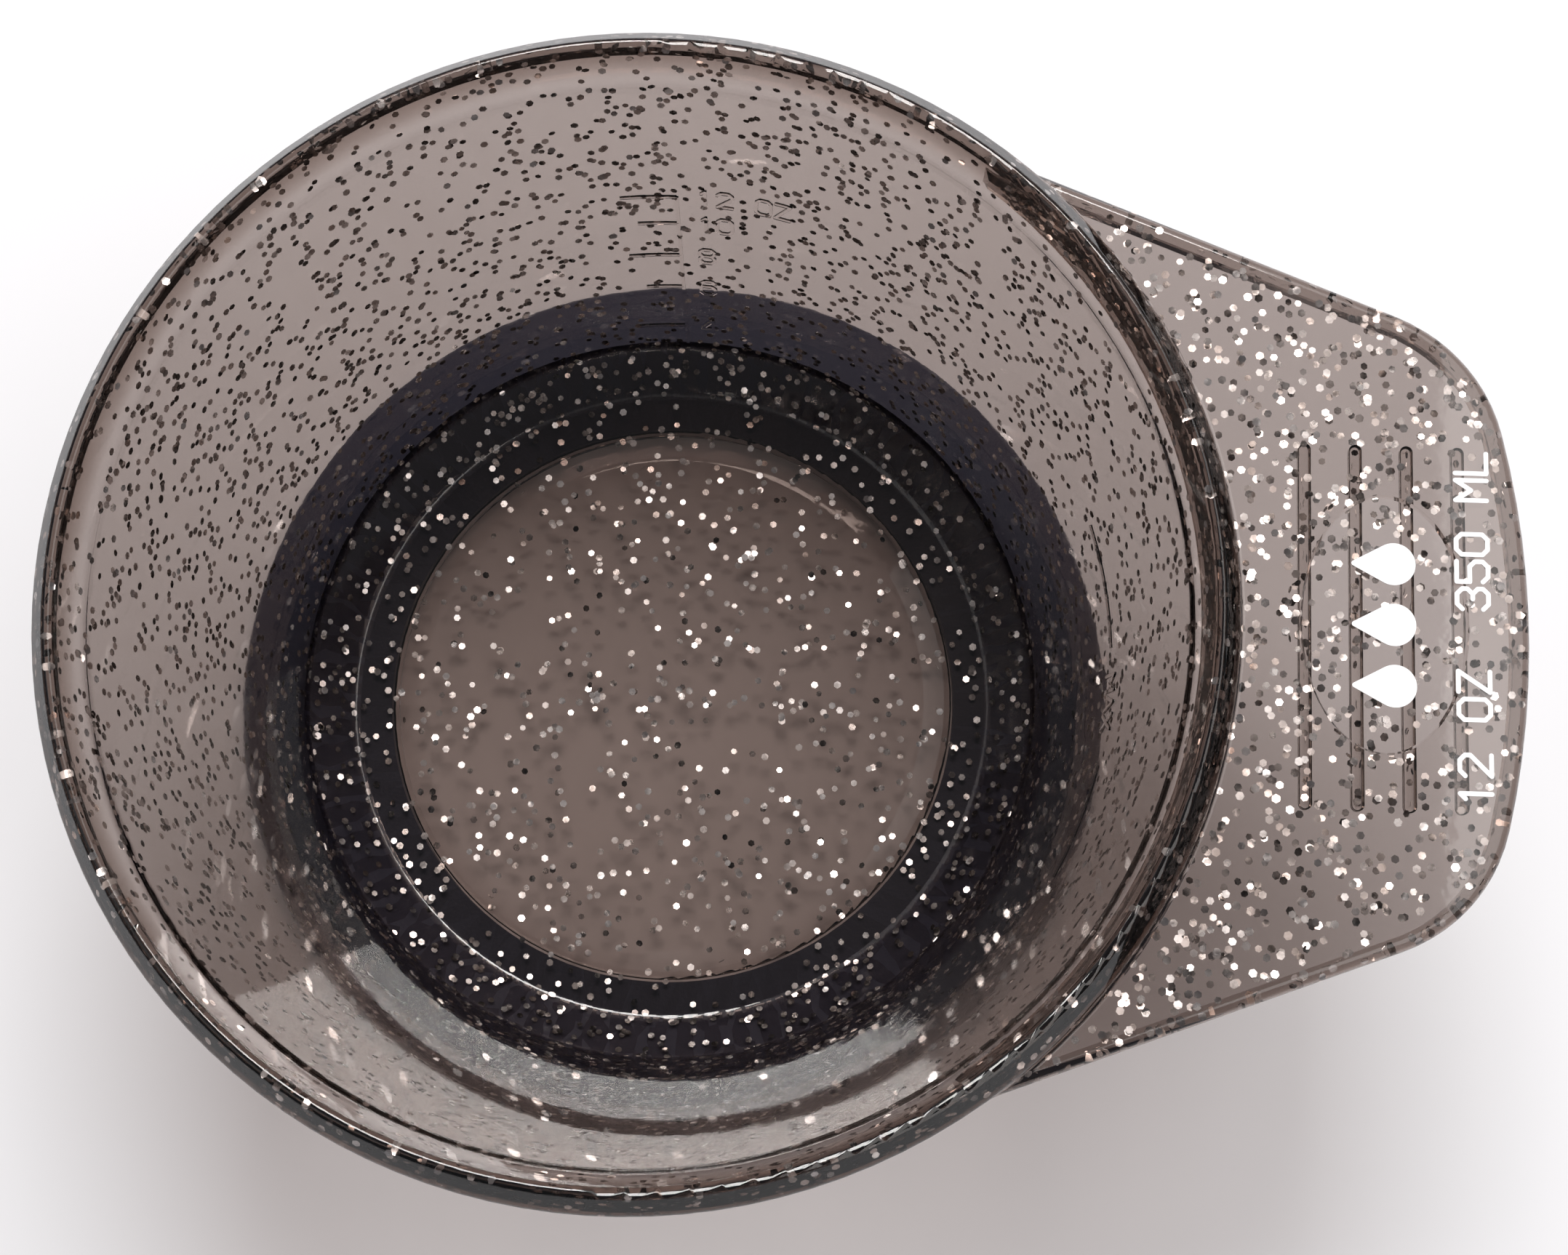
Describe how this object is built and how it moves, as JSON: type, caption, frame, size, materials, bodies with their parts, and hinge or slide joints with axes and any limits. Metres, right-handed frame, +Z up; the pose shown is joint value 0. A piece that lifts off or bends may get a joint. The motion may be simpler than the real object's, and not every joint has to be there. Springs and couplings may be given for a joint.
{
  "type": "hair color mixing bowl",
  "caption": "Round tapered mixing bowl in see-through glitter plastic, with a flat tapered thumb handle and a wide rubber grip ring under its foot.",
  "frame": {"origin": "on the bowl's axis, in the plane of the rubber base's underside, which is the surface the bowl stands on", "axes": "+Z up along the bowl's axis, +X along the middle of the handle"},
  "size_m": [0.1735, 0.14, 0.0737],
  "materials": {
    "glitter_plastic": "clear smoky grey-brown styrene with silver glitter flakes moulded in, polished",
    "base_rubber": "satin blue-black thermoplastic rubber",
    "white_foil": "hot-stamped white foil"
  },
  "bodies": {
    "root": {"bowl": "glitter_plastic", "grip_base": "base_rubber", "foil_mark": "white_foil"}
  },
  "joints": []
}
